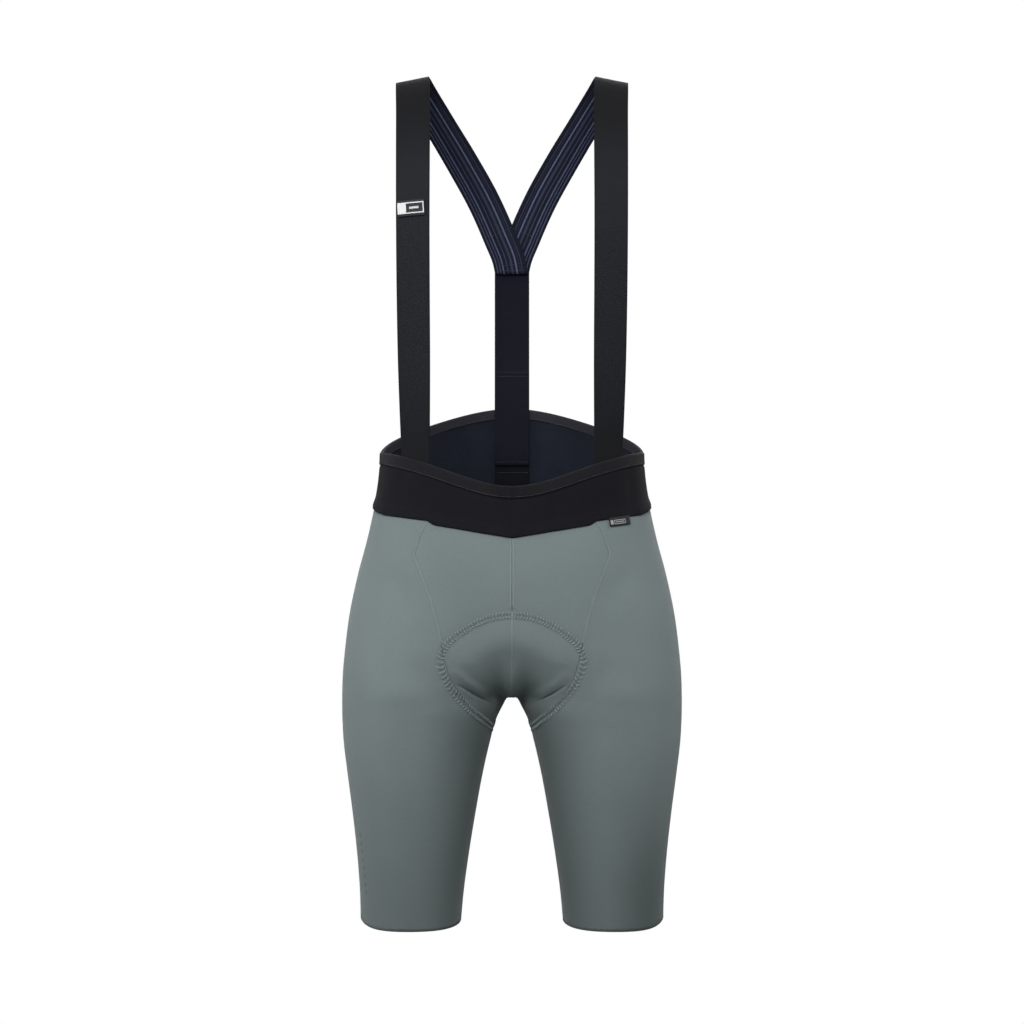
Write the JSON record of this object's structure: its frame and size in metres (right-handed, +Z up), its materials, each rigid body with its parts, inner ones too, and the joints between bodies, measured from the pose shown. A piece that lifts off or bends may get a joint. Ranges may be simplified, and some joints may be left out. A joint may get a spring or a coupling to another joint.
{
  "type": "cycling bib shorts",
  "caption": "Sleeveless cycling bib shorts filled out as worn: stretch panels, seat pad, V-fronted waistband and shoulder straps that join in a Y behind.",
  "frame": {"origin": "midway between the two straps where they lie over the shoulders, the place where the wearer's shoulders hold the garment up", "axes": "+Z up, +Y towards the wearer's back, +X to the wearer's left"},
  "size_m": [0.3566, 0.2307, 0.8884],
  "materials": {
    "sage_jersey": "matt stretch jersey with a faint sheen",
    "black_knit": "dense elastic knit, matt",
    "ribbed_binding": "folded fine-ribbed elastic, matt",
    "navy_webbing": "soft elastic webbing, matt",
    "pad_foam": "brushed knit over foam, matt",
    "woven_label": "woven satin label, satin"
  },
  "bodies": {
    "root": {"front_panel_left": "sage_jersey", "front_panel_right": "sage_jersey", "leg_panel_left": "sage_jersey", "leg_panel_right": "sage_jersey", "waistband_front": "black_knit", "waistband_back": "black_knit", "waist_binding": "ribbed_binding", "strap_left": "black_knit", "strap_right": "black_knit", "back_strap_upper": "navy_webbing", "back_strap_lower": "navy_webbing", "back_strap_tail": "navy_webbing", "seat_pad": "pad_foam", "strap_label": "woven_label", "waist_tab": "woven_label"}
  },
  "joints": []
}
